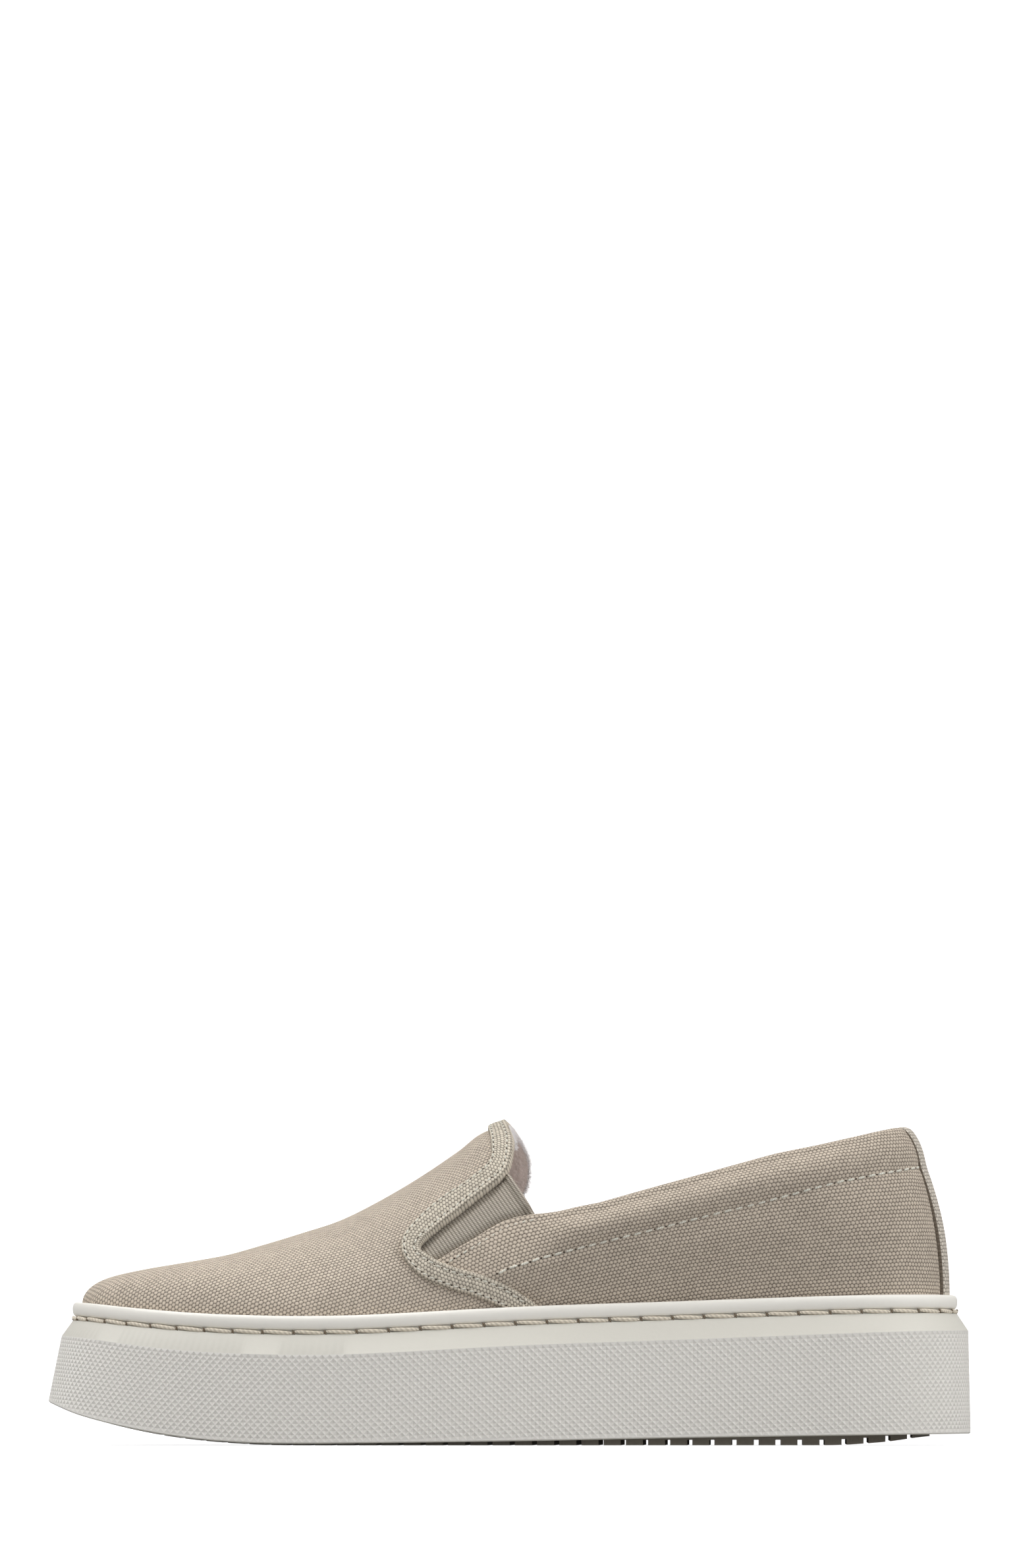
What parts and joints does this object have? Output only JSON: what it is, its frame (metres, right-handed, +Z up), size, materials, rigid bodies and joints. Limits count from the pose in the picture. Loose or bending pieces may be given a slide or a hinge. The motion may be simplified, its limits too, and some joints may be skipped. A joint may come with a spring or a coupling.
{
  "type": "slip-on sneaker",
  "caption": "Left canvas slip-on sneaker on a thick stitched rubber cupsole, with elastic side gores and a padded collar, standing empty on its sole.",
  "frame": {"origin": "on the floor under the middle of the whole shoe's bounding box", "axes": "+X from the toe to the heel, +Y from the outer (lateral) side to the inner (medial) side, +Z up"},
  "size_m": [0.276, 0.0982, 0.0977],
  "materials": {
    "cupsole": "smooth ivory rubber, with a field of small moulded pyramids on its side",
    "tread": "matt pale rubber",
    "canvas": "coarse basket-weave canvas in pale taupe",
    "binding": "the same canvas, folded and stitched twice",
    "elastic": "fine ribbed elastic",
    "strip": "the same canvas, paler",
    "lining": "pale napped lining"
  },
  "bodies": {
    "root": {"cupsole": "cupsole", "tread": "tread", "upper": "canvas", "binding": "binding", "gore_lateral": "elastic", "gore_medial": "elastic", "heel_strip": "strip", "insole": "lining"}
  },
  "joints": []
}
